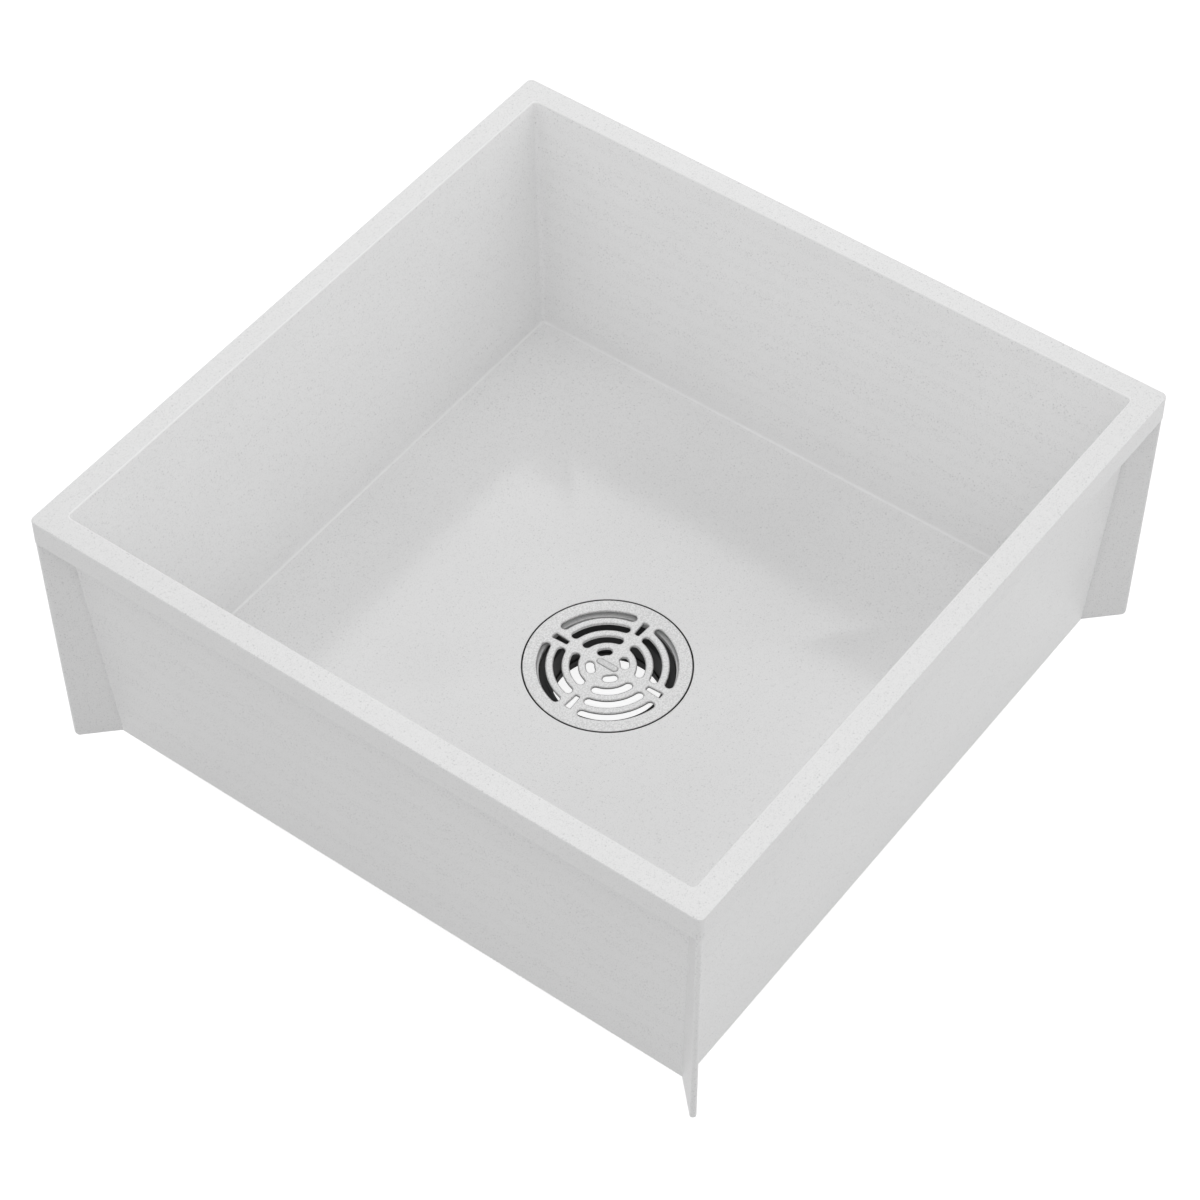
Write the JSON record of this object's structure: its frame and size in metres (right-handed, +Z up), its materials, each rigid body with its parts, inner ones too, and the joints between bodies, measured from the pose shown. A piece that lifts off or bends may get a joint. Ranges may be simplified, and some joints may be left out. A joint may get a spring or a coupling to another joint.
{
  "type": "mop service sink",
  "caption": "Square floor-standing mop basin moulded in stone composite, with turned-down rim, corner fins, falling floor, lift-out slotted grate and pipe outlet.",
  "frame": {"origin": "on the outlet's axis, level with the outlet's lower end, which is the lowest point", "axes": "+Z up; +X and +Y towards two adjoining sides, with a corner fin on each diagonal; the basin is the same on all four sides"},
  "size_m": [0.6096, 0.6096, 0.2925],
  "materials": {
    "basin": "satin moulded stone and resin composite, white with fine grey speckle",
    "grate": "satin cast stainless steel",
    "drain_body": "black moulded plastic",
    "flange_gasket": "black rubber",
    "friction_washer": "natural white plastic",
    "lock_nut": "black moulded plastic",
    "pipe_nut": "black moulded plastic",
    "pipe_seal": "black rubber"
  },
  "bodies": {
    "basin": {"basin": "basin", "drain_body": "drain_body", "flange_gasket": "flange_gasket", "friction_washer": "friction_washer", "lock_nut": "lock_nut", "pipe_nut": "pipe_nut", "pipe_seal": "pipe_seal"},
    "grate": {"grate": "grate"}
  },
  "joints": [
    {"name": "grate_lift", "type": "slide", "parent": "basin", "child": "grate", "axis": [0, 0, 1], "range_m": [0, 0.08]}
  ]
}
